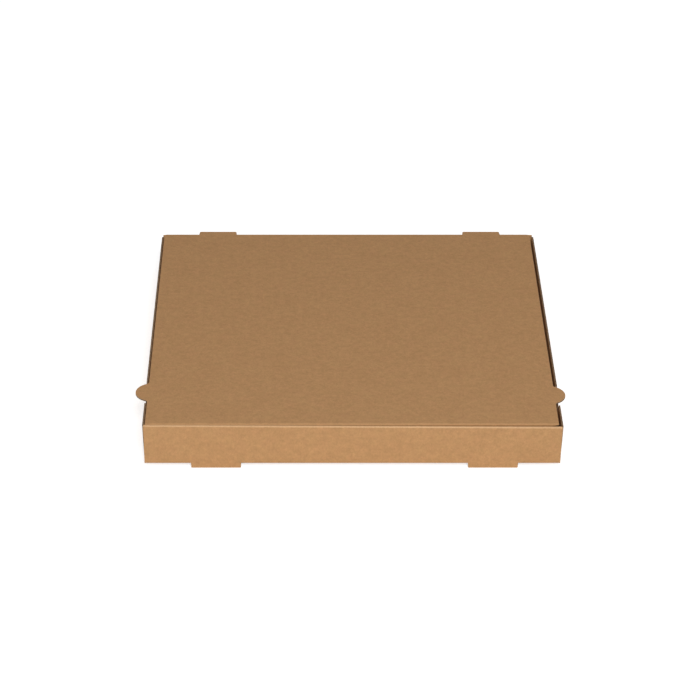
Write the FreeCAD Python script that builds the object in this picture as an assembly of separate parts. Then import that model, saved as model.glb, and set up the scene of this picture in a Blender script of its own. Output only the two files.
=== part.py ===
"""Closed pizza box of fine-flute kraft board, folded from one die-cut blank.

The blank is modelled as its two moving halves, which meet at the crease along the back:
  tray  base, side walls, corner flaps, back wall and the rolled-over front wall
  lid   top panel, dust flaps with their ears, tuck flap and the two rear tabs

Millimetres. X is the width, Y runs from the front wall to the hinge, Z is up. The origin is
the centre of the base's underside. Insets are measured from the tray's outer faces.
"""
import FreeCAD
import Part
import math
import os

# Board and overall size
board_t = 1.1
tray_width = 330.0
tray_depth = 330.0
closed_height = 35.0
layer_gap = 0.1

# Side walls, which lean outwards a little and end just below the lid's top face
side_wall_drop = 0.4
side_lean = 1.0
side_rear_chamfer = 3.0

# Rolled-over front wall, whose right end has sprung forward
front_lean_left = 0.0
front_lean_right = 2.6
inner_panel_foot_gap = 2.7
inner_panel_end_gap = 0.3
tongue_end_gap = 0.2
tongue_side_gap = 1.5

# The die cuts the four tabs a little to the right of the middle
die_offset = 1.7

# Front tabs, cut from the base and left in line with the front wall
front_tab_width = 40.5
front_tab_drop = 4.0
front_tab_inset = 55.1
front_tab_taper = 0.3
slot_side_gap = 0.3

# Rear tabs, cut from the back wall and left in line with the lid
rear_tab_width = 33.6
rear_tab_length = 5.0
rear_tab_inset = 47.3
rear_tab_taper = 0.5
rear_tab_corner_r = 1.4
rear_opening_gap = 0.35

# Lid, which lies nearer to the left wall
lid_left_inset = 0.8
lid_right_inset = 2.1
lid_front_gap = 0.3
hinge_gap = 0.3
lid_rear_chamfer_x = 2.0
lid_rear_chamfer_y = 4.0

# Dust flaps at the lid's sides, which lean inwards
dust_flap_depth = 24.0
dust_flap_lean = 0.8
dust_flap_front_setback = 3.0
dust_flap_rear_gap = 1.1
dust_flap_front_slope = 9.0
dust_flap_rear_slope = 14.0
dust_flap_corner_r = 5.0

# Ears, cut from the dust flaps and left in line with the lid
ear_left_reach = 9.8
ear_right_reach = 8.5
ear_radius = 14.0
ear_root_r = 1.6
ear_left_inset = 52.3
ear_right_inset = 48.0
ear_cut_gap = 0.2
notch_depth = 6.6
notch_rear_gap = 1.0
notch_front_gap = 2.2
notch_slope = 2.0

# Tuck flap at the lid's front edge
tuck_depth = 25.0
tuck_angle_deg = 6.5
tuck_end_setback = 4.0
tuck_slope = 6.0
tuck_corner_r = 10.0

# Corner flaps of the side walls
front_flap_length = 62.0
front_flap_top = 18.0
front_flap_slope = 5.0
rear_flap_length = 58.0
rear_flap_lid_gap = 0.8
rear_flap_tab_gap = 0.6
rear_flap_tab_side_gap = 1.5
rear_flap_slope = 6.0
rear_flap_corner_r = 4.0

# Places that follow from the sizes above
half_width = tray_width / 2
front_y = -tray_depth / 2
rear_y = tray_depth / 2
roll_rear_y = front_y + 2 * board_t + layer_gap
flap_front_y = front_y + board_t + layer_gap
flap_rear_y = rear_y - board_t - layer_gap
side_wall_top = closed_height - side_wall_drop
lid_front_y = roll_rear_y + lid_front_gap
lid_under_z = closed_height - board_t
rear_opening_z = lid_under_z - rear_tab_length
cutter_margin = 5.0

# Ends of each fold's quarter turn, in degrees from the outline's first axis to its second
RIGHT, TOP, LEFT, BOTTOM = 0, 90, 180, 270


def vector(x, y, z):
    """Point with the coordinates in millimetres."""
    return FreeCAD.Vector(x, y, z)


def box(x0, x1, y0, y1, z0, z1):
    """Axis-aligned block between two corners."""
    return Part.makeBox(x1 - x0, y1 - y0, z1 - z0, vector(x0, y0, z0))


def union(shapes):
    """One solid from shapes that touch or overlap, with merged coplanar faces."""
    return shapes[0].fuse(shapes[1:]).removeSplitter()


def on_circle(centre, radius, degrees):
    """Point (u, v) on a circle, with the angle measured from u towards v."""
    angle = math.radians(degrees)
    return centre[0] + radius * math.cos(angle), centre[1] + radius * math.sin(angle)


def fold(centre, first, last):
    """Outside of a crease around its pinched inner liner: a start point, then an arc."""
    middle = on_circle(centre, board_t, (first + last) / 2)
    return [on_circle(centre, board_t, first), (middle, on_circle(centre, board_t, last))]


def wire(path, place):
    """Closed wire through the (u, v) path, with each point put in space by place.

    A step that is a pair of points is an arc through the first of them to the second.
    """
    edges = []
    last = place(*path[0])
    for step in path[1:] + path[:1]:
        if isinstance(step[0], tuple):
            middle, end = place(*step[0]), place(*step[1])
            edges.append(Part.Arc(last, middle, end).toShape())
        else:
            end = place(*step)
            edges.append(Part.LineSegment(last, end).toShape())
        last = end
    return Part.Wire(edges)


def prism_along_x(path, x0, x1):
    """Solid whose (y, z) outline is constant from x0 to x1."""
    return Part.Face(wire(path, lambda y, z: vector(x0, y, z))).extrude(vector(x1 - x0, 0, 0))


def prism_along_y(path, y0, y1):
    """Solid whose (x, z) outline is constant from y0 to y1."""
    return Part.Face(wire(path, lambda x, z: vector(x, y0, z))).extrude(vector(0, y1 - y0, 0))


def prism_along_z(path, z0, z1):
    """Solid whose (x, y) outline is constant from z0 to z1."""
    return Part.Face(wire(path, lambda x, y: vector(x, y, z0))).extrude(vector(0, 0, z1 - z0))


def mirrored(path, side):
    """The path with its first coordinate turned to the side, -1 for the left."""
    turned = []
    for step in path:
        if isinstance(step[0], tuple):
            turned.append(tuple((side * u, v) for u, v in step))
        else:
            turned.append((side * step[0], step[1]))
    return turned


def rounded(solid, radius, corners, axis):
    """The solid with a radius on the straight edges along axis that pass through corners."""
    chosen = []
    for edge in solid.Edges:
        run = edge.Vertexes[-1].Point - edge.Vertexes[0].Point
        if run.Length == 0 or abs(run.normalize().dot(axis)) < 0.999:
            continue
        for corner in corners:
            apart = edge.CenterOfMass - corner
            across = apart - axis * apart.dot(axis)
            if across.Length < 0.001:
                chosen.append(edge)
                break
    return solid.makeFillet(radius, chosen)


def tab_centres(inset):
    """X of the middle of each of a pair of tabs, left then right."""
    return [die_offset + side * (half_width - inset) for side in (-1, 1)]


def lid_half(side):
    """Distance from the middle to the lid's edge at one side."""
    return half_width - (lid_left_inset if side < 0 else lid_right_inset)


def lid_fold_starts():
    """X of the two lines where the lid's side folds leave its top panel."""
    return [side * (lid_half(side) - board_t) for side in (-1, 1)]


def ear_y(side):
    """Y of the middle of the ear at one side."""
    return front_y + (ear_left_inset if side < 0 else ear_right_inset)


def ear_reach(side):
    """How far the ear at one side stands out from the lid's edge."""
    return ear_left_reach if side < 0 else ear_right_reach


def ear_half_root(side):
    """Half the length of an ear along the lid's edge, with its root fillets."""
    across = ear_reach(side) - ear_radius - ear_root_r
    return math.sqrt((ear_radius + ear_root_r) ** 2 - across**2)


def front_lean_at(x):
    """How far the front wall's top leans forward at x."""
    share = (x + half_width) / tray_width
    return front_lean_left + (front_lean_right - front_lean_left) * share


def leaning_point(x, y, z):
    """Point of the front wall, moved forward with its height up to the rolled-over fold."""
    rise = min(max(z, board_t), lid_under_z) - board_t
    return vector(x, y - front_lean_at(x) * rise / (lid_under_z - board_t), z)


def leaning_solid(path, x0, x1):
    """Board with a (y, z) outline that follows the front wall's lean from x0 to x1."""
    sections = [wire(path, lambda y, z, x=x: leaning_point(x, y, z)) for x in (x0, x1)]
    return Part.makeLoft(sections, True, True)


def side_lean_at(z):
    """How far the side walls lean outwards at height z."""
    return side_lean * (z - board_t) / (closed_height - board_t)


def wall_middle_x(z):
    """X of the middle of the right side wall's board at height z."""
    return half_width - board_t / 2 + side_lean_at(z)


def front_tab(centre):
    """Tab in line with the front wall, which carries straight on below the base."""
    half = front_tab_width / 2 - slot_side_gap
    tip = half - front_tab_taper
    outline = [
        (centre - half, board_t),
        (centre - half, 0),
        (centre - tip, -front_tab_drop),
        (centre + tip, -front_tab_drop),
        (centre + half, 0),
        (centre + half, board_t),
    ]
    return prism_along_y(outline, front_y, front_y + board_t)


def front_wall():
    """Front wall rolled over the corner flaps, with two tabs below and two tongues inside."""
    outer_inside = front_y + board_t
    panel_top_y = outer_inside + layer_gap
    panel_foot_y = outer_inside + inner_panel_foot_gap
    section = (
        fold((outer_inside, board_t), BOTTOM, LEFT)
        + fold((outer_inside, lid_under_z), LEFT, TOP)
        + fold((panel_top_y, lid_under_z), TOP, RIGHT)
        + [
            (panel_foot_y + board_t, tongue_end_gap),
            (panel_foot_y, tongue_end_gap),
            (panel_top_y, lid_under_z),
            (outer_inside, lid_under_z),
            (outer_inside, board_t),
        ]
    )
    wall = leaning_solid(section, -half_width, half_width)

    hollow_top_y = (outer_inside + panel_top_y) / 2
    hollow_foot_y = (outer_inside + panel_foot_y) / 2
    behind_y = panel_foot_y + board_t + cutter_margin
    below_z = -cutter_margin
    tongue_half = front_tab_width / 2 - tongue_side_gap
    ends = [-half_width]
    for centre in tab_centres(front_tab_inset):
        ends += [centre - tongue_half, centre + tongue_half]
    ends.append(half_width)
    for x0, x1 in zip(ends[0::2], ends[1::2]):
        wall = wall.cut(box(x0, x1, hollow_foot_y, behind_y, below_z, board_t + layer_gap))

    panel_end = half_width - board_t - inner_panel_end_gap
    for side in (-1, 1):
        lean = front_lean_at(side * half_width)
        end_cut = [
            (hollow_foot_y, below_z),
            (behind_y, below_z),
            (behind_y, lid_under_z),
            (hollow_top_y - lean, lid_under_z),
            (hollow_foot_y, board_t),
        ]
        outside = half_width + cutter_margin
        wall = wall.cut(prism_along_x(end_cut, side * panel_end, side * outside))
    return union([wall] + [front_tab(centre) for centre in tab_centres(front_tab_inset)])


def base_panel():
    """Base with the two slots that the front tabs leave open."""
    inside = half_width - board_t
    start = front_y + board_t
    panel = box(-inside, inside, start, rear_y - board_t, 0, board_t)
    for centre in tab_centres(front_tab_inset):
        x0, x1 = centre - front_tab_width / 2, centre + front_tab_width / 2
        panel = panel.cut(box(x0, x1, start, start + front_tab_drop, 0, board_t))
    return panel


def side_wall(side):
    """Side wall of one board, with its raw top edge and the notch under the ear."""
    inside = half_width - board_t
    top_lean = side_lean_at(side_wall_top)
    section = fold((inside, board_t), BOTTOM, BOTTOM + 90) + [
        (half_width + top_lean, side_wall_top),
        (inside + top_lean, side_wall_top),
        (inside, board_t),
    ]
    long_wall = prism_along_y(
        mirrored(section, side), front_y - cutter_margin, rear_y + cutter_margin
    )

    lean = front_lean_at(side * half_width)
    front = flap_front_y + board_t / 2
    rear = flap_rear_y - board_t / 2
    above = closed_height + cutter_margin
    under_fold = lid_under_z - layer_gap
    behind_fold = roll_rear_y - lean + layer_gap
    notch_front = ear_y(side) - ear_half_root(side) - notch_front_gap
    notch_rear = ear_y(side) + ear_half_root(side) + notch_rear_gap
    notch_z = side_wall_top - notch_depth
    outline = [
        (front, -cutter_margin),
        (front, board_t),
        (front - lean, under_fold),
        (behind_fold, under_fold),
        (behind_fold, above),
        (notch_front, above),
        (notch_front, side_wall_top),
        (notch_front + notch_slope, notch_z),
        (notch_rear - notch_slope, notch_z),
        (notch_rear, side_wall_top),
        (notch_rear, above),
        (rear - side_rear_chamfer, above),
        (rear - side_rear_chamfer, side_wall_top),
        (rear, side_wall_top - side_rear_chamfer),
        (rear, -cutter_margin),
    ]
    outside = side * (half_width + cutter_margin)
    return long_wall.common(prism_along_x(outline, side * (inside - cutter_margin), outside))


def front_corner_flap(side):
    """Low flap of the side wall that stands inside the rolled-over front wall."""
    tip = half_width - front_flap_length
    low = board_t + layer_gap
    high = front_flap_top
    slope = front_flap_slope
    board = [
        (flap_front_y, board_t),
        (flap_front_y + board_t, board_t),
        (flap_front_y + board_t, closed_height),
        (flap_front_y, closed_height),
    ]
    x0, x1 = sorted((side * (tip - board_t), side * (half_width + side_lean)))
    outline = [
        (wall_middle_x(low), low),
        (tip + slope, low),
        (tip, low + slope),
        (tip, high - slope),
        (tip + slope, high),
        (wall_middle_x(high), high),
    ]
    trimmer = prism_along_y(
        mirrored(outline, side), front_y - cutter_margin, front_y + cutter_margin
    )
    return leaning_solid(board, x0, x1).common(trimmer)


def rear_corner_flap(side):
    """Flap of the side wall inside the back wall, cut low where a rear tab swings."""
    tip = half_width - rear_flap_length
    low = board_t + layer_gap
    high = lid_under_z - rear_flap_lid_gap
    step_z = rear_opening_z - rear_flap_tab_gap
    tab = tab_centres(rear_tab_inset)[0 if side < 0 else 1]
    step = abs(tab) + rear_tab_width / 2 + rear_flap_tab_side_gap
    outline = [
        (wall_middle_x(low), low),
        (tip + rear_flap_slope, low),
        (tip, step_z - rear_flap_slope),
        (tip, step_z),
        (step, step_z),
        (half_width - 2 * board_t, high),
        (wall_middle_x(high), high),
    ]
    flap = prism_along_y(mirrored(outline, side), flap_rear_y - board_t, flap_rear_y)
    corner = vector(side * tip, flap_rear_y, step_z)
    return rounded(flap, rear_flap_corner_r, [corner], vector(0, 1, 0))


def mitre_turn():
    """Degrees from the crease's 45 degree line to each half's mitred face, at the outside."""
    return math.degrees(math.asin(hinge_gap / 2 / board_t))


def back_wall():
    """Back wall up to the mitred hinge crease, open where the rear tabs were cut out."""
    inside = rear_y - board_t
    mitre_end = (inside, lid_under_z - hinge_gap / math.sqrt(2))
    outline = (
        fold((inside, board_t), BOTTOM, BOTTOM + 90)
        + fold((inside, lid_under_z), RIGHT, 45 - mitre_turn())
        + [mitre_end]
    )
    wall = prism_along_x(outline, -half_width, half_width)
    for centre in tab_centres(rear_tab_inset):
        half = rear_tab_width / 2 + rear_opening_gap
        x0, x1 = centre - half, centre + half
        wall = wall.cut(box(x0, x1, inside, rear_y, rear_opening_z, closed_height))
    return wall


def tray():
    """Tray of the box: everything that stays on the table when the lid opens."""
    pieces = [base_panel(), front_wall(), back_wall()]
    for side in (-1, 1):
        pieces += [side_wall(side), front_corner_flap(side), rear_corner_flap(side)]
    return union(pieces)


def ear_path(side, reach, inner):
    """Outline (out, along) of one side's ear with its root fillets, from the lid's edge.

    reach is how far the tip stands out, and inner is where the outline closes inside the edge.
    """
    root = ear_half_root(side)
    to_ear = math.degrees(math.atan2(root, ear_root_r + ear_radius - ear_reach(side)))
    halves = []
    for sign in (-1, 1):
        fillet = (ear_root_r, sign * root)
        on_ear = on_circle(fillet, ear_root_r, LEFT + sign * to_ear)
        middle = on_circle(fillet, ear_root_r, LEFT + sign * to_ear / 2)
        halves.append(((0, sign * root), middle, on_ear))
    near, far = halves
    return [
        (inner, -root),
        near[0],
        (near[1], near[2]),
        ((reach, 0), far[2]),
        (far[1], far[0]),
        (inner, root),
    ]


def ear(side):
    """Ear of the lid at one side, in line with the top panel."""
    edge = vector(side * lid_half(side), ear_y(side), lid_under_z)
    path = ear_path(side, ear_reach(side), -board_t)
    outline = wire(path, lambda out, along: edge + vector(side * out, along, 0))
    return Part.Face(outline).extrude(vector(0, 0, board_t))


def ear_opening(side):
    """Cutter for the gap that the ear leaves in its dust flap."""
    through = board_t + dust_flap_lean
    start = vector(side * (lid_half(side) - through), ear_y(side), lid_under_z)
    path = ear_path(side, ear_reach(side) + ear_cut_gap, -board_t)
    outline = wire(path, lambda out, along: start + vector(0, along, -out))
    return Part.Face(outline).extrude(vector(side * through, 0, 0))


def dust_flap(side):
    """Dust flap along the lid's side, with its fold and the gap that the ear leaves."""
    inside = lid_half(side) - board_t
    bottom = closed_height - dust_flap_depth
    section = fold((inside, lid_under_z), TOP, RIGHT) + [
        (lid_half(side) - dust_flap_lean, bottom),
        (inside - dust_flap_lean, bottom),
        (inside, lid_under_z),
    ]
    flap = prism_along_y(mirrored(section, side), lid_front_y, rear_y)

    above = closed_height + cutter_margin
    front_end = lid_front_y + dust_flap_front_setback
    rear_end = flap_rear_y - board_t - dust_flap_rear_gap
    front_foot = front_end + dust_flap_front_slope
    rear_foot = rear_end - dust_flap_rear_slope
    shoulder_z = lid_under_z - board_t / 2
    outline = [
        (lid_front_y + board_t, above),
        (lid_front_y + board_t, lid_under_z),
        (front_end, shoulder_z),
        (front_foot, bottom),
        (rear_foot, bottom),
        (rear_end, shoulder_z),
        (rear_end, lid_under_z),
        (rear_y - 2 * board_t, lid_under_z),
        (rear_y - 2 * board_t, above),
    ]
    outside = lid_half(side) + cutter_margin
    trimmer = prism_along_x(outline, side * (inside - cutter_margin), side * outside)
    corners = [vector(0, y, bottom) for y in (front_foot, rear_foot)]
    trimmer = rounded(trimmer, dust_flap_corner_r, corners, vector(1, 0, 0))
    return flap.common(trimmer).cut(ear_opening(side))


def tuck_flap():
    """Front fold of the lid and the flap that tucks in behind the front wall."""
    inside = lid_front_y + board_t
    bottom = closed_height - tuck_depth
    slant = tuck_depth * math.tan(math.radians(tuck_angle_deg))
    section = fold((inside, lid_under_z), TOP, LEFT) + [
        (lid_front_y + slant, bottom),
        (inside + slant, bottom),
        (inside, lid_under_z),
    ]
    left, right = lid_fold_starts()
    flap = prism_along_x(section, left, right)

    above = closed_height + cutter_margin
    shoulder_z = lid_under_z - board_t
    left_foot = left + tuck_end_setback + tuck_slope
    right_foot = right - tuck_end_setback - tuck_slope
    outline = [
        (left, above),
        (left, lid_under_z),
        (left + tuck_end_setback, shoulder_z),
        (left_foot, bottom),
        (right_foot, bottom),
        (right - tuck_end_setback, shoulder_z),
        (right, lid_under_z),
        (right, above),
    ]
    trimmer = prism_along_y(outline, lid_front_y - cutter_margin, lid_front_y + tuck_depth)
    corners = [vector(x, 0, bottom) for x in (left_foot, right_foot)]
    return flap.common(rounded(trimmer, tuck_corner_r, corners, vector(0, 1, 0)))


def lid_top():
    """Top panel with its mitred back edge."""
    left, right = lid_fold_starts()
    front = lid_front_y + board_t
    inside = rear_y - board_t
    panel_end = inside - board_t
    panel = box(left, right, front, panel_end, lid_under_z, closed_height)
    mitre_end = (inside - hinge_gap / math.sqrt(2), lid_under_z)
    back = fold((inside, lid_under_z), 45 + mitre_turn(), TOP) + [
        (panel_end, closed_height),
        (panel_end, lid_under_z),
        mitre_end,
    ]
    return union([panel, prism_along_x(back, -lid_half(-1), lid_half(1))])


def lid_corner(side):
    """Rounded corner where the lid's front fold meets the fold at one side.

    The ball's poles and its seam are turned away from the eighth that is kept.
    """
    ball = Part.makeSphere(board_t)
    ball.rotate(vector(0, 0, 0), vector(1, 0, 0), TOP)
    ball.rotate(vector(0, 0, 0), vector(0, 0, 1), (LEFT + side * TOP) / 2)
    x0, x1 = sorted((0, side * cutter_margin))
    corner = ball.common(box(x0, x1, -cutter_margin, 0, 0, cutter_margin))
    inside = lid_half(side) - board_t
    corner.translate(vector(side * inside, lid_front_y + board_t, lid_under_z))
    return corner


def rear_tab(centre):
    """Tab in line with the lid, standing out past the back wall."""
    root = rear_tab_width / 2
    tip = root - rear_tab_taper
    start = rear_y - 2 * board_t
    end = rear_y + rear_tab_length
    outline = [
        (centre - root, start),
        (centre - root, rear_y),
        (centre - tip, end),
        (centre + tip, end),
        (centre + root, rear_y),
        (centre + root, start),
    ]
    tab = prism_along_z(outline, lid_under_z, closed_height)
    corners = [vector(centre + x, end, 0) for x in (-tip, tip)]
    return rounded(tab, rear_tab_corner_r, corners, vector(0, 0, 1))


def rear_chamfer(side):
    """Wedge to cut from the lid's rear corner."""
    edge_x = lid_half(side)
    inner_x = edge_x - lid_rear_chamfer_x
    outer_x = edge_x + cutter_margin
    start = rear_y - lid_rear_chamfer_y
    end = rear_y + cutter_margin
    outline = [(inner_x, rear_y), (edge_x, start), (outer_x, start), (outer_x, end), (inner_x, end)]
    return prism_along_z(mirrored(outline, side), 0, closed_height)


def lid():
    """Lid of the box: top panel and every flap that lifts with it."""
    pieces = [lid_top(), tuck_flap()]
    for side in (-1, 1):
        pieces += [dust_flap(side), ear(side), lid_corner(side)]
    pieces += [rear_tab(centre) for centre in tab_centres(rear_tab_inset)]
    return union(pieces).cut([rear_chamfer(side) for side in (-1, 1)])


def main():
    """Write one STEP file for each half of the box."""
    os.makedirs("parts", exist_ok=True)
    for name, shape in (("tray", tray()), ("lid", lid())):
        count = len(shape.Solids)
        print(name, "solids:", count, "valid:", shape.isValid(), "mm3:", round(shape.Volume))
        shape.Solids[0].exportStep(os.path.join("parts", name + ".step"))


main()
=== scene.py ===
"""Looks of a closed pizza box of fine-flute kraft board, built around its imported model.

The board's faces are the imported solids' own, merged and mapped along the flutes. Its cut
edges show the liners and the wavy sheet between them, and a strip of outer liner closes the
crease that the lid turns on. Everything is in metres, in the part's frame: X to the right,
Y from the front wall to the hinge, Z up.
"""

import logging  # noqa: E402
import math  # noqa: E402
from dataclasses import dataclass, field  # noqa: E402
from enum import Enum  # noqa: E402

import bmesh  # noqa: E402
import bpy  # noqa: E402
from mathutils import Matrix, Vector  # noqa: E402
from mathutils.bvhtree import BVHTree  # noqa: E402


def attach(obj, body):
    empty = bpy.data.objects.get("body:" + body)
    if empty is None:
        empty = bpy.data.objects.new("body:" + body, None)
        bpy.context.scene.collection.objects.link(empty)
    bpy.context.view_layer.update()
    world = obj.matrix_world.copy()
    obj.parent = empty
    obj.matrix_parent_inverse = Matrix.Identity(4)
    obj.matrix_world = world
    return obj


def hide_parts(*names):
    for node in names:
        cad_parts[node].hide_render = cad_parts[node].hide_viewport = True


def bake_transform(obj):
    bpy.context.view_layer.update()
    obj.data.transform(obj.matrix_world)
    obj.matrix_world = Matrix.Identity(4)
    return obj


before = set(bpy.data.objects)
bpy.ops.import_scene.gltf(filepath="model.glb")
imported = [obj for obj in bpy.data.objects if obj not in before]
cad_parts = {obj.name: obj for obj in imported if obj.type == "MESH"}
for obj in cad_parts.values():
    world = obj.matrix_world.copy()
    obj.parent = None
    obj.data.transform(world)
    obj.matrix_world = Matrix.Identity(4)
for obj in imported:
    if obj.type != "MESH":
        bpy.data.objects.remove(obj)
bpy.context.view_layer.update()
LOG = logging.getLogger("pizza_box")

MM = 0.001
FLUTE_PITCH_MM = 2.4
BOARD_MAP = "board"
CREASE = "crease"
WHITE = (1.0, 1.0, 1.0, 1.0)
WHOLE = (0.0, 1.0)
# Nearly all values of a noise lie between these.
NOISE_SPAN = (0.3, 0.7)

Colour = tuple[int, int, int]
Span = tuple[float, float]
Triple = tuple[float, float, float]
Socket = bpy.types.NodeSocket


def linear(colour: Colour) -> tuple[float, float, float, float]:
    """Scene colour of an 8-bit display colour, by the sRGB curve.

    Args:
        colour: Red, green and blue from 0 to 255.

    Returns:
        The colour in linear light, with an alpha of 1.
    """
    red, green, blue = (
        share / 12.92 if share <= 0.04045 else ((share + 0.055) / 1.055) ** 2.4
        for share in (value / 255 for value in colour))
    return red, green, blue, 1.0


def add_object(name: str, data: bpy.types.ID) -> bpy.types.Object:
    """Put an object in the scene.

    Args:
        name: Its name.
        data: Its mesh, lamp or camera.

    Returns:
        The new object, at the origin.
    """
    added = bpy.data.objects.new(name, data)
    bpy.context.scene.collection.objects.link(added)
    return added


def add_shape(name: str, shape: bmesh.types.BMesh,
              *finishes: bpy.types.Material) -> bpy.types.Object:
    """Put a finished shape in the scene.

    Args:
        name: The object's name, which its mesh has as well.
        shape: The shape, which is freed.
        finishes: Its materials, in the order of the faces' material numbers.

    Returns:
        The new object, at the origin.
    """
    mesh = bpy.data.meshes.new(name)
    shape.to_mesh(mesh)
    shape.free()
    for finish in finishes:
        mesh.materials.append(finish)
    return add_object(name, mesh)


def smooth(piece: bpy.types.Object, sharp_angle: float) -> None:
    """Shade a piece smoothly between its sharp edges."""
    piece.data.shade_smooth()
    piece.data.set_sharp_from_angle(angle=sharp_angle)


class Cut(Enum):
    """Kinds of face on a folded board, with their material numbers."""

    LINER = 0
    RAW = 1


@dataclass(frozen=True)
class Noise:
    """Pattern of a noise texture.

    Attributes:
        scale: Features for each unit of the place where it is read.
        detail: Octaves of finer noise.
        roughness: Strength of each finer octave.
        stretch: Further scale on each axis, where the features are longer one way.
    """

    scale: float
    detail: float
    roughness: float
    stretch: Triple | None = None


class Nodes:
    """A node tree, with short ways to add and join nodes."""

    def __init__(self, tree: bpy.types.NodeTree) -> None:
        """Empty the tree."""
        self.tree = tree
        self.tree.nodes.clear()

    def add(self, kind: str) -> bpy.types.Node:
        """New node of the kind that Blender names."""
        return self.tree.nodes.new(kind)

    def join(self, source: Socket, target: Socket) -> None:
        """Link one socket to another."""
        self.tree.links.new(source, target)

    def feed(self, target: Socket, value: object) -> None:
        """Give a socket a link or a constant.

        Args:
            target: The socket.
            value: The socket that it is linked to, or its constant.
        """
        if isinstance(value, Socket):
            self.join(value, target)
        else:
            target.default_value = value

    def coordinates(self, which: str) -> Socket:
        """Texture coordinates of the named kind."""
        return self.add("ShaderNodeTexCoord").outputs[which]

    def attribute(self, name: str) -> Socket:
        """Value of a mesh's own attribute.

        Args:
            name: The attribute's name.

        Returns:
            The socket with the value.
        """
        node = self.add("ShaderNodeAttribute")
        node.attribute_name = name
        return node.outputs["Fac"]

    def apart(self, vector: Socket) -> bpy.types.NodeOutputs:
        """X, Y and Z of a vector.

        Args:
            vector: The vector.

        Returns:
            The sockets, by the names of the axes.
        """
        node = self.add("ShaderNodeSeparateXYZ")
        self.join(vector, node.inputs["Vector"])
        return node.outputs

    def scaled(self, vector: Socket, scale: Triple) -> Socket:
        """The vector multiplied by a scale on each axis.

        Args:
            vector: The vector.
            scale: The scales on X, Y and Z.

        Returns:
            The socket with the new vector.
        """
        node = self.add("ShaderNodeMapping")
        self.join(vector, node.inputs["Vector"])
        node.inputs["Scale"].default_value = scale
        return node.outputs["Vector"]

    def noise(self, place: Socket, pattern: Noise) -> Socket:
        """Value of a noise texture.

        Args:
            place: Where the noise is read.
            pattern: Its pattern.

        Returns:
            The socket with the value, around 0.5.
        """
        if pattern.stretch is not None:
            place = self.scaled(place, pattern.stretch)
        node = self.add("ShaderNodeTexNoise")
        self.join(place, node.inputs["Vector"])
        node.inputs["Scale"].default_value = pattern.scale
        node.inputs["Detail"].default_value = pattern.detail
        node.inputs["Roughness"].default_value = pattern.roughness
        return node.outputs[0]

    def maths(self, operation: str, first: object, second: object = 0.0,
              third: object = 0.0) -> Socket:
        """Result of a math node.

        Args:
            operation: Blender's name of the operation.
            first: First link or constant.
            second: Second link or constant.
            third: Third link or constant.

        Returns:
            The socket with the result.
        """
        node = self.add("ShaderNodeMath")
        node.operation = operation
        for target, value in zip(node.inputs, (first, second, third)):
            self.feed(target, value)
        return node.outputs[0]

    def ranged(self, value: Socket, source: Span, target: Span) -> Socket:
        """The value moved from one range to another, and kept inside it.

        Args:
            value: The value.
            source: Start and end of the range that it comes from.
            target: Start and end of the range that it is moved to.

        Returns:
            The socket with the new value.
        """
        node = self.add("ShaderNodeMapRange")
        self.join(value, node.inputs["Value"])
        for name, number in zip(("From Min", "From Max", "To Min", "To Max"), source + target):
            node.inputs[name].default_value = number
        return node.outputs["Result"]

    def mixed(self, share: Socket, first: object, second: object) -> Socket:
        """Mix of two colours.

        Args:
            share: Share of the second colour.
            first: First link or constant.
            second: Second link or constant.

        Returns:
            The socket with the colour.
        """
        node = self.add("ShaderNodeMix")
        node.data_type = "RGBA"
        self.join(share, node.inputs["Factor"])
        self.feed(node.inputs["A"], first)
        self.feed(node.inputs["B"], second)
        return node.outputs["Result"]

    def dimmed(self, colour: Socket, brightness: Socket) -> Socket:
        """The colour multiplied by a brightness.

        Args:
            colour: The colour.
            brightness: The factor.

        Returns:
            The socket with the new colour.
        """
        node = self.add("ShaderNodeVectorMath")
        node.operation = "SCALE"
        self.join(colour, node.inputs[0])
        self.join(brightness, node.inputs["Scale"])
        return node.outputs[0]

    def length(self, vector: Socket) -> Socket:
        """Length of a vector.

        Args:
            vector: The vector.

        Returns:
            The socket with the length.
        """
        node = self.add("ShaderNodeVectorMath")
        node.operation = "LENGTH"
        self.join(vector, node.inputs[0])
        return node.outputs["Value"]

    def bumped(self, height: Socket, depth: float, under: Socket | None = None) -> Socket:
        """Normal of a surface with a height pattern.

        Args:
            height: The pattern, from 0 to 1.
            depth: Height of the pattern in metres.
            under: Normal of a coarser bump that this one lies on.

        Returns:
            The socket with the normal.
        """
        node = self.add("ShaderNodeBump")
        self.join(height, node.inputs["Height"])
        node.inputs["Distance"].default_value = depth
        if under is not None:
            self.join(under, node.inputs["Normal"])
        return node.outputs["Normal"]

    def seen_rays(self) -> Socket:
        """Share that is 1 for rays that end in the picture.

        Returns:
            The socket, 1 for straight rays, mirrored ones and those through glass, or else 0.
        """
        path = self.add("ShaderNodeLightPath")
        mirrored = self.maths("MAXIMUM", path.outputs["Is Camera Ray"],
                              path.outputs["Is Glossy Ray"])
        return self.maths("MAXIMUM", mirrored, path.outputs["Is Transmission Ray"])


class Finish(Nodes):
    """A new material and its node tree."""

    def __init__(self, name: str, roughness: float, specular: float) -> None:
        """Start a material with an output and a Principled shader.

        Args:
            name: The material's name.
            roughness: Its roughness.
            specular: How far it reflects at its face.
        """
        self.material = bpy.data.materials.new(name)
        self.material.use_nodes = True
        super().__init__(self.material.node_tree)
        self.output = self.add("ShaderNodeOutputMaterial")
        self.shader = self.add("ShaderNodeBsdfPrincipled")
        self.shader.inputs["Roughness"].default_value = roughness
        self.shader.inputs["Specular IOR Level"].default_value = specular
        self.join(self.shader.outputs["BSDF"], self.output.inputs["Surface"])


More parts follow.
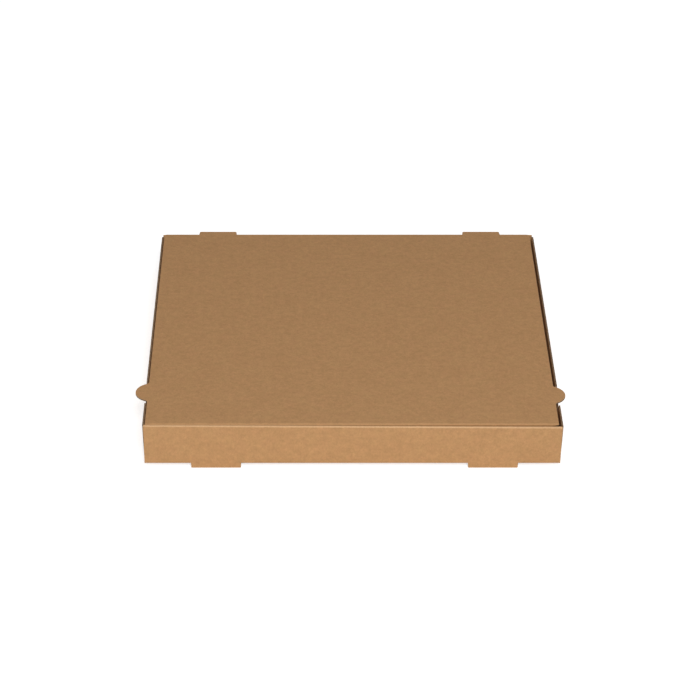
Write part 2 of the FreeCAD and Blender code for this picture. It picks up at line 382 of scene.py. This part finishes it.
@dataclass(frozen=True)
class KraftLiner:
    """Unbleached kraft paper on both faces of the board.

    The board map gives u along the flutes and v across them, in millimetres.

    Attributes:
        name: The material's name.
        pulp: Colour of the paper.
        dark_pulp: Colour of its darker clouds.
        warm_pulp: Colour of its warmer clouds.
        speck: Colour of the specks in it.
        rubbed_highlight: Colour of the paper on the folds, partly real rubbed wear and partly a
            painted highlight.
        clouds: Pattern of the darker clouds.
        warm_clouds: Pattern of the warmer clouds.
        warm_span: Noise from which a warmer cloud starts, and at which it is full.
        warm_shares: Least and largest share of the warmer colour.
        felt: Pattern of the felt's marks.
        flocks: Pattern of the fibres' flocks.
        fibres: Patterns of the fibres that lie across the flutes, and along them.
        specks: Pattern of the specks.
        speck_span: Noise from which a speck starts, and at which it is full.
        speck_shares: Least and largest share of a speck's colour.
        rubbed_highlight_shares: Least and largest share of that pale colour on a fold.
        flock_shades: Brightness of the flocks, from least to largest.
        fine_shades: What fibres and felt marks each add to it, from least to largest.
        roughness: Middle roughness of the paper.
        roughness_change: How far the fibres change it.
        specular: How far the paper reflects at its face.
        washboard_depth: Height of the flutes that show through the paper.
        fibre_depth: Height of the fibres.
    """

    name: str = "kraft_liner"
    pulp: Colour = (189, 145, 98)
    dark_pulp: Colour = (184, 140, 94)
    warm_pulp: Colour = (192, 143, 99)
    speck: Colour = (128, 92, 60)
    rubbed_highlight: Colour = (217, 177, 134)
    clouds: Noise = Noise(0.045, 3.0, 0.55)
    warm_clouds: Noise = Noise(0.11, 2.0, 0.5)
    warm_span: Span = (0.35, 0.75)
    warm_shares: Span = (0.0, 0.55)
    felt: Noise = Noise(0.2, 3.0, 0.65)
    flocks: Noise = Noise(1.0, 4.0, 0.62, stretch=(0.62, 0.4, 1.0))
    fibres: tuple[Noise, Noise] = (Noise(1.0, 3.0, 0.6, stretch=(4.2, 0.55, 1.0)),
                                   Noise(1.0, 3.0, 0.6, stretch=(0.9, 3.1, 1.0)))
    specks: Noise = Noise(0.9, 1.0, 0.4)
    speck_span: Span = (0.74, 0.8)
    speck_shares: Span = (0.0, 0.5)
    rubbed_highlight_shares: Span = (0.45, 0.95)
    flock_shades: Span = (0.925, 1.07)
    fine_shades: Span = (-0.08, 0.08)
    roughness: float = 0.82
    roughness_change: float = 0.05
    specular: float = 0.28
    washboard_depth: float = 0.01 * MM
    fibre_depth: float = 0.03 * MM

    def make(self) -> bpy.types.Material:
        """Build the material.

        Returns:
            The finished material.
        """
        sheet = Finish(self.name, self.roughness, self.specular)
        board = sheet.coordinates("UV")
        across, along = (sheet.noise(board, fibre) for fibre in self.fibres)
        grain = sheet.maths("MULTIPLY_ADD", across, 0.5, sheet.maths("MULTIPLY", along, 0.5))
        inputs = sheet.shader.inputs
        sheet.join(self.colour(sheet, board, grain), inputs["Base Color"])
        sheet.join(self.relief(sheet, board, grain), inputs["Normal"])
        rougher = (self.roughness + self.roughness_change, self.roughness - self.roughness_change)
        sheet.join(sheet.ranged(grain, NOISE_SPAN, rougher), inputs["Roughness"])
        return sheet.material

    def colour(self, sheet: Finish, board: Socket, grain: Socket) -> Socket:
        """Colour of the paper.

        Args:
            sheet: The material's nodes.
            board: Place on the board map.
            grain: Value of the fibres.

        Returns:
            The socket with the colour.
        """
        clouds = sheet.ranged(sheet.noise(board, self.clouds), NOISE_SPAN, WHOLE)
        paper = sheet.mixed(clouds, linear(self.pulp), linear(self.dark_pulp))
        warm = sheet.ranged(sheet.noise(board, self.warm_clouds), self.warm_span,
                            self.warm_shares)
        paper = sheet.mixed(warm, paper, linear(self.warm_pulp))
        flocks = sheet.noise(board, self.flocks)
        felt = sheet.noise(board, self.felt)
        shade = sheet.maths("ADD", sheet.ranged(flocks, NOISE_SPAN, self.flock_shades),
                            sheet.ranged(grain, NOISE_SPAN, self.fine_shades))
        shade = sheet.maths("ADD", shade, sheet.ranged(felt, NOISE_SPAN, self.fine_shades))
        specks = sheet.ranged(sheet.noise(board, self.specks), self.speck_span,
                              self.speck_shares)
        paper = sheet.mixed(specks, sheet.dimmed(paper, shade), linear(self.speck))
        # Pale colour on the folds: partly real rubbed wear, partly a painted highlight where the
        # folds face the lamp.
        rubbed_highlight_mask = sheet.maths("MULTIPLY", sheet.attribute(CREASE),
                          sheet.ranged(flocks, NOISE_SPAN, self.rubbed_highlight_shares))
        return sheet.mixed(rubbed_highlight_mask, paper, linear(self.rubbed_highlight))

    def relief(self, sheet: Finish, board: Socket, grain: Socket) -> Socket:
        """Normal of the paper, with the flutes under it and its fibres.

        Args:
            sheet: The material's nodes.
            board: Place on the board map.
            grain: Value of the fibres.

        Returns:
            The socket with the normal.
        """
        turn = sheet.maths("MULTIPLY", sheet.apart(board)["Y"], 2 * math.pi / FLUTE_PITCH_MM)
        wave = sheet.maths("MULTIPLY_ADD", sheet.maths("SINE", turn), 0.5, 0.5)
        washboard = sheet.bumped(wave, self.washboard_depth)
        return sheet.bumped(grain, self.fibre_depth, washboard)


@dataclass(frozen=True)
class RawEdge:
    """Die-cut edge of the board: two liners with the wavy sheet and its hollows between.

    On a cut edge the board map gives u across the flutes in millimetres, and v through the
    board from 0 to 1.

    Attributes:
        name: The material's name.
        pulp: Colour of the cut paper.
        dark_pulp: Colour of its darker fibres.
        hollow_shade: Dark colour in the hollows beside the wavy sheet: painted shade.
        fuzz: Pattern of the torn fibres.
        dark_span: Noise from which a fibre is darker, and at which it is darkest.
        wobble: How far torn fibres shift the paper's edges, as shares of the board.
        liner_share: Thickness of a liner, as a share of the board's.
        sheet_share: Half the thickness of the wavy sheet, as a share of the board's.
        softness: Width of the paper's soft edge, as a share of the board's thickness.
        fuzz_depth: Height of the torn fibres.
        hollow_depth: Depth of the hollows.
        roughness: Roughness of the edge.
        specular: How far the edge reflects at its face.
    """

    name: str = "raw_edge"
    pulp: Colour = (194, 164, 134)
    dark_pulp: Colour = (164, 136, 108)
    hollow_shade: Colour = (98, 78, 60)
    fuzz: Noise = Noise(2600.0, 3.0, 0.6)
    dark_span: Span = (0.35, 0.68)
    wobble: Span = (-0.03, 0.03)
    liner_share: float = 0.17
    sheet_share: float = 0.1
    softness: float = 0.03
    fuzz_depth: float = 0.08 * MM
    hollow_depth: float = 0.5 * MM
    roughness: float = 0.92
    specular: float = 0.15

    def make(self) -> bpy.types.Material:
        """Build the material.

        Returns:
            The finished material.
        """
        sheet = Finish(self.name, self.roughness, self.specular)
        fuzz = sheet.noise(sheet.coordinates("Object"), self.fuzz)
        paper = self.paper(sheet, fuzz)
        pulp = sheet.mixed(sheet.ranged(fuzz, self.dark_span, WHOLE), linear(self.pulp),
                           linear(self.dark_pulp))
        inputs = sheet.shader.inputs
        # The flute hollows on the flat cut face are painted dark: painted shade, with only a bump
        # for their depth.
        sheet.join(sheet.mixed(paper, linear(self.hollow_shade), pulp), inputs["Base Color"])
        relief = sheet.bumped(paper, self.hollow_depth)
        sheet.join(sheet.bumped(fuzz, self.fuzz_depth, relief), inputs["Normal"])
        return sheet.material

    def paper(self, sheet: Finish, fuzz: Socket) -> Socket:
        """Where the cut edge is paper, and where it is hollow.

        Args:
            sheet: The material's nodes.
            fuzz: Value of the torn fibres.

        Returns:
            The socket, 1 on the liners and the wavy sheet, and 0 in the hollows.
        """
        board = sheet.apart(sheet.coordinates("UV"))
        through = sheet.maths("ADD", board["Y"], sheet.ranged(fuzz, NOISE_SPAN, self.wobble))
        turn = sheet.maths("MULTIPLY", board["X"], 2 * math.pi / FLUTE_PITCH_MM)
        swing = 0.5 - self.liner_share
        wave = sheet.maths("MULTIPLY_ADD", sheet.maths("SINE", turn), swing, 0.5)
        from_wave = sheet.maths("ABSOLUTE", sheet.maths("SUBTRACT", through, wave))
        from_middle = sheet.maths("ABSOLUTE", sheet.maths("SUBTRACT", through, 0.5))
        wavy_sheet = sheet.ranged(from_wave, (self.sheet_share, self.sheet_share + self.softness),
                                  (1.0, 0.0))
        liners = sheet.ranged(from_middle, (swing - self.softness, swing), WHOLE)
        return sheet.maths("MAXIMUM", wavy_sheet, liners)


@dataclass
class FoldedBoard:
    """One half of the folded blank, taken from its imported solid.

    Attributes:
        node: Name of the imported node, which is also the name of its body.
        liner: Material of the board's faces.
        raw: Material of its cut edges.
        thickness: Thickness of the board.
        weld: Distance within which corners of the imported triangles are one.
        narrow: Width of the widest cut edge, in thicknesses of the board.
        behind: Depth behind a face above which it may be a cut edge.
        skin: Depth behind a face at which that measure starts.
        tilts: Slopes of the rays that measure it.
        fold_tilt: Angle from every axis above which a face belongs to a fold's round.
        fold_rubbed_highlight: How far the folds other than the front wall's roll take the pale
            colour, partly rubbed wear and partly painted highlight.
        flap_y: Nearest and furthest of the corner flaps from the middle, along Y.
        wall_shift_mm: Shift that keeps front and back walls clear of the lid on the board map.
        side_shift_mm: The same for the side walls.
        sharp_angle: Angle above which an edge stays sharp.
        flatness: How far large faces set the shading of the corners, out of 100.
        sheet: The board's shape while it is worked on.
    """

    node: str
    liner: bpy.types.Material
    raw: bpy.types.Material
    thickness: float = 1.1 * MM
    weld: float = 0.001 * MM
    narrow: float = 1.4
    behind: float = 1.6 * MM
    skin: float = 0.01 * MM
    tilts: Span = (-0.06, 0.06)
    fold_tilt: float = math.radians(8)
    fold_rubbed_highlight: float = 0.12
    flap_y: Span = (162.6 * MM, 163.85 * MM)
    wall_shift_mm: float = 400.0
    side_shift_mm: float = 500.0
    sharp_angle: float = math.radians(30)
    flatness: int = 100
    sheet: bmesh.types.BMesh = field(init=False)

    def __post_init__(self) -> None:
        """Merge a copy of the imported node's triangles."""
        self.sheet = bmesh.new()
        self.sheet.from_mesh(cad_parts[self.node].data)
        bmesh.ops.remove_doubles(self.sheet, verts=self.sheet.verts[:], dist=self.weld)
        bmesh.ops.dissolve_degenerate(self.sheet, edges=self.sheet.edges[:], dist=self.weld)

    def is_raw(self, tree: BVHTree, face: bmesh.types.BMFace) -> bool:
        """Whether a face is a cut edge: narrow, with more than the board's thickness behind.

        Args:
            tree: All faces of the board.
            face: The face.

        Returns:
            True for a cut edge.
        """
        longest = max(edge.calc_length() for edge in face.edges)
        if 2 * face.calc_area() / longest > self.narrow * self.thickness:
            return False
        inward = -face.normal
        start = face.calc_center_median() + inward * self.skin
        side = inward.orthogonal().normalized()
        for across in (side, inward.cross(side)):
            for tilt in self.tilts:
                depth = tree.ray_cast(start, (inward + across * tilt).normalized())[3]
                if depth is not None and depth < self.behind:
                    return False
        return True

    def sort_faces(self) -> None:
        """Mark each face as liner or cut edge."""
        tree = BVHTree.FromBMesh(self.sheet)
        for face in self.sheet.faces:
            face.material_index = (Cut.RAW if self.is_raw(tree, face) else Cut.LINER).value

    def map_board(self) -> None:
        """Lay the board map on every face and mark the rounds of the folds."""
        board = self.sheet.loops.layers.uv.new(BOARD_MAP)
        crease = self.sheet.loops.layers.float.new(CREASE)
        for face in self.sheet.faces:
            if face.material_index == Cut.RAW.value:
                self.map_cut_edge(face, board)
                continue
            rubbed_highlight = self.rubbed_highlight_share(face)
            for loop in face.loops:
                loop[crease] = rubbed_highlight
                loop[board].uv = self.on_board(loop.vert.co, face.normal)

    def on_board(self, place: Vector, normal: Vector) -> Span:
        """Place on the board map, along the flutes and across them.

        Args:
            place: The point.
            normal: Normal of the panel that it is on.

        Returns:
            The place in mm. The flutes run along X on the base, the lid and the front and
            back walls, and up the side walls.
        """
        x, y, z = place / MM
        if abs(normal.z) >= max(abs(normal.x), abs(normal.y)):
            return x, y
        if abs(normal.y) >= abs(normal.x):
            return x, z + math.copysign(self.wall_shift_mm, normal.y)
        return z + math.copysign(self.side_shift_mm, normal.x), y

    def rubbed_highlight_share(self, face: bmesh.types.BMFace) -> float:
        """How far a face takes the pale fold colour, partly rubbed wear and partly painted
        highlight.

        Args:
            face: The face.

        Returns:
            1 on the front wall's roll, a little on the other folds, and 0 on flat panels and on
            folds that face down.
        """
        normal = face.normal
        # Folds that face down get none of the painted highlight; the front wall's roll, which
        # faces the lamp, gets the most.
        if max(abs(part) for part in normal) > math.cos(self.fold_tilt) or normal.z < 0:
            return 0.0
        on_roll = self.node == "tray" and normal.y < 0 and face.calc_center_median().y < 0
        return 1.0 if on_roll else self.fold_rubbed_highlight

    def map_cut_edge(self, face: bmesh.types.BMFace, board: bmesh.types.BMLayerItem) -> None:
        """Map a cut edge, u across the flutes in mm and v through the board from 0 to 1.

        Args:
            face: The cut edge.
            board: The board map.
        """
        rails = [(edge.calc_length(), edge.verts[0].co, other.normal)
                 for edge in face.edges for other in edge.link_faces
                 if other.material_index == Cut.LINER.value]
        if not rails:
            return
        _, start, outward = max(rails, key=lambda rail: rail[0])
        for loop in face.loops:
            place = loop.vert.co
            through = (start - place).dot(outward) / self.thickness
            loop[board].uv = (self.across_flutes(place, outward), through)

    def across_flutes(self, place: Vector, outward: Vector) -> float:
        """Distance across the flutes in mm, which run along X in the blank.

        Args:
            place: The point.
            outward: Normal of the panel that the point is cut from.

        Returns:
            The distance: Y on the base, lid and side walls, X on the upright corner flaps,
            and Z on the front and back walls and the tuck flap.
        """
        if max(abs(outward.x), abs(outward.z)) > abs(outward.y):
            return place.y / MM
        near, far = self.flap_y
        if self.node == "tray" and near < abs(place.y) < far and abs(place.z) > self.thickness:
            return place.x / MM
        return place.z / MM

    def build(self) -> bpy.types.Object:
        """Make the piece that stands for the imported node.

        Returns:
            The finished object, riding on its body.
        """
        self.sort_faces()
        self.map_board()
        piece = add_shape(self.node + "_board", self.sheet, self.liner, self.raw)
        smooth(piece, self.sharp_angle)
        flat = piece.modifiers.new("flat_panels", "WEIGHTED_NORMAL")
        flat.weight = self.flatness
        flat.keep_sharp = True
        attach(piece, self.node)
        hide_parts(self.node)
        return piece


@dataclass(frozen=True)
class CreaseLiner:
    """Outer liner across the mitred crease, from the back wall's round to the lid's.

    Attributes:
        liner: Material of the board's faces.
        stretches: Ends of each stretch along X; the rear tabs stand between them.
        centre: Y and Z of the crease's centre line.
        radius: Outside radius of the liner.
        thickness: Thickness of the liner.
        mitre: Angle of the mitre, up from the back.
        turn: Angle of the arc, which ends under both halves' own liner.
        gap_turn: Angle of the arc between the two mitred edges. Not used.
        steps: Faces around the arc.
        sharp_angle: Angle above which an edge stays sharp.
    """

    liner: bpy.types.Material
    stretches: tuple[Span, ...] = (
        (-162.0 * MM, -133.2 * MM), (-98.8 * MM, 102.2 * MM), (136.6 * MM, 160.7 * MM))
    centre: Span = (163.9 * MM, 33.9 * MM)
    radius: float = 1.07 * MM
    thickness: float = 0.15 * MM
    mitre: float = math.radians(45)
    turn: float = math.radians(36)
    gap_turn: float = math.radians(15.7)
    steps: int = 12
    sharp_angle: float = math.radians(50)

    def on_arc(self, angle: float) -> Span:
        """Y and Z on the liner at an angle from the mitre."""
        return (self.centre[0] + self.radius * math.cos(self.mitre + angle),
                self.centre[1] + self.radius * math.sin(self.mitre + angle))

    def stretch(self, name: str, left: float, right: float) -> bpy.types.Object:
        """Make the liner between two ends.

        Args:
            name: The piece's name.
            left: Its left end along X.
            right: Its right end along X.

        Returns:
            The finished object, which bends between the two halves.
        """
        sheet = bmesh.new()
        board = sheet.loops.layers.uv.new(BOARD_MAP)
        bmesh.ops.create_grid(sheet, x_segments=1, y_segments=self.steps, size=1.0)
        for vert in sheet.verts:
            share = (vert.co.x + 1) / 2
            vert.co = (left + (right - left) * share, *self.on_arc(vert.co.y * self.turn / 2))
        bmesh.ops.recalc_face_normals(sheet, faces=sheet.faces[:])
        bmesh.ops.solidify(sheet, geom=sheet.faces[:], thickness=self.thickness)
        bmesh.ops.recalc_face_normals(sheet, faces=sheet.faces[:])
        for face in sheet.faces:
            for loop in face.loops:
                x, y, z = loop.vert.co / MM
                loop[board].uv = (x, y - z)
        piece = add_shape(name, sheet, self.liner)
        smooth(piece, self.sharp_angle)
        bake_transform(piece)
        return piece

    def build(self) -> list[bpy.types.Object]:
        """Make every stretch."""
        return [self.stretch(f"crease_liner_{number}", left, right)
                for number, (left, right) in enumerate(self.stretches, start=1)]


@dataclass(frozen=True)
class Studio:
    """Camera, lamp, floor and backdrop.

    Attributes:
        camera_place: Camera's place, fitted to the photograph's edges.
        camera_pitch: Degrees below the horizon.
        lens: Focal length in millimetres on the default sensor.
        shift_x: Sideways shift of the frame.
        key_place: Place of the key lamp, which faces the middle of the box.
        key_width: Side of the key lamp.
        key_watts: Power of the key lamp.
        world_light: Strength of the light from all round.
        tab_drop: How far the front tabs' feet are below the base.
        base_depth: Distance from those feet to the base's rear edge. The box stands on both,
            so the floor rises by tab_drop over it.
        floor_gap: Gap between the box and the floor.
        floor_radius: Radius of the floor.
        floor_sides: Sides of the floor's outline.
        floor_grey: Brightness of the floor's own colour.
        floor_roughness: Roughness of the floor.
        floor_specular: How far the floor reflects at its face.
        glow_reach: Distances from the box between which the floor's glow rises.
        glow_strengths: Strength of the glow nearer than that, and further.
    """

    camera_place: Triple = (-0.0334, -1.9443, 1.1164)
    camera_pitch: float = 29.649
    lens: float = 135.97
    shift_x: float = 0.0567
    key_place: Triple = (0.15, -2.0, 1.6)
    key_width: float = 1.0
    key_watts: float = 43.0
    world_light: float = 0.27
    tab_drop: float = 4.0 * MM
    base_depth: float = 330.0 * MM
    floor_gap: float = 0.1 * MM
    floor_radius: float = 6.0
    floor_sides: int = 96
    floor_grey: float = 0.86
    floor_roughness: float = 0.95
    floor_specular: float = 0.05
    glow_reach: Span = (0.8, 2.0)
    glow_strengths: Span = (0.62, 1.0)

    def camera(self) -> None:
        """Place the camera at the photograph's viewing angle."""
        data = bpy.data.cameras.new("camera")
        data.lens = self.lens
        data.shift_x = self.shift_x
        camera = add_object("camera", data)
        camera.location = self.camera_place
        camera.rotation_euler = (math.radians(90 - self.camera_pitch), 0.0, 0.0)
        bpy.context.scene.camera = camera

    def key_lamp(self) -> None:
        """Add the soft square lamp in front of the box."""
        data = bpy.data.lights.new("key", "AREA")
        data.shape = "SQUARE"
        data.size = self.key_width
        data.energy = self.key_watts
        lamp = add_object("key", data)
        lamp.location = self.key_place
        lamp.rotation_mode = "QUATERNION"
        lamp.rotation_quaternion = (-Vector(self.key_place)).to_track_quat("-Z", "Y")

    def world(self) -> None:
        """Light the scene softly and show white behind it."""
        world = bpy.data.worlds.new("studio")
        world.use_nodes = True
        sky = Nodes(world.node_tree)
        output = sky.add("ShaderNodeOutputWorld")
        background = sky.add("ShaderNodeBackground")
        background.inputs["Color"].default_value = WHITE
        strength = sky.ranged(sky.seen_rays(), WHOLE, (self.world_light, 1.0))
        sky.join(strength, background.inputs["Strength"])
        sky.join(background.outputs["Background"], output.inputs["Surface"])
        bpy.context.scene.world = world

    def floor_finish(self) -> bpy.types.Material:
        """Build the floor's material, white in the picture apart from the shadow near the box.

        Returns:
            The finished material.
        """
        sheet = Finish("studio_floor", self.floor_roughness, self.floor_specular)
        grey = self.floor_grey
        sheet.shader.inputs["Base Color"].default_value = (grey, grey, grey, 1.0)
        from_box = sheet.length(sheet.coordinates("Object"))
        glow = sheet.add("ShaderNodeEmission")
        sheet.join(sheet.ranged(from_box, self.glow_reach, self.glow_strengths),
                   glow.inputs["Strength"])
        both = sheet.add("ShaderNodeAddShader")
        sheet.join(sheet.shader.outputs["BSDF"], both.inputs[0])
        sheet.join(glow.outputs["Emission"], both.inputs[1])
        seen = sheet.add("ShaderNodeMixShader")
        sheet.join(sheet.seen_rays(), seen.inputs["Fac"])
        sheet.join(sheet.shader.outputs["BSDF"], seen.inputs[1])
        sheet.join(both.outputs["Shader"], seen.inputs[2])
        sheet.join(seen.outputs["Shader"], sheet.output.inputs["Surface"])
        return sheet.material

    def floor(self) -> None:
        """Lay the floor under the feet of the front tabs and the base's rear edge."""
        shape = bmesh.new()
        bmesh.ops.create_circle(shape, cap_ends=True, segments=self.floor_sides,
                                radius=self.floor_radius)
        slope = math.atan(self.tab_drop / self.base_depth)
        bmesh.ops.rotate(shape, verts=shape.verts[:], matrix=Matrix.Rotation(slope, 3, "X"))
        middle = -self.tab_drop / 2 - self.floor_gap
        bmesh.ops.translate(shape, verts=shape.verts[:], vec=(0.0, 0.0, middle))
        floor = add_shape("floor", shape, self.floor_finish())

    def build(self) -> None:
        """Set up the whole studio."""
        bpy.context.scene.view_settings.view_transform = "Standard"
        self.camera()
        self.world()
        self.floor()
        self.key_lamp()


def main() -> None:
    """Build the studio and the box in order, and report each piece."""
    logging.basicConfig(level=logging.INFO, format="%(name)s: %(message)s")
    Studio().build()
    liner = KraftLiner().make()
    raw = RawEdge().make()
    pieces = [FoldedBoard(node, liner, raw).build() for node in ("tray", "lid")]
    pieces += CreaseLiner(liner).build()
    for piece in pieces:
        faces = piece.data.polygons
        cut_edges = sum(face.material_index == Cut.RAW.value for face in faces)
        LOG.info("%s: %d faces, %d of them cut edges", piece.name, len(faces), cut_edges)


if __name__ == "__main__":
    main()
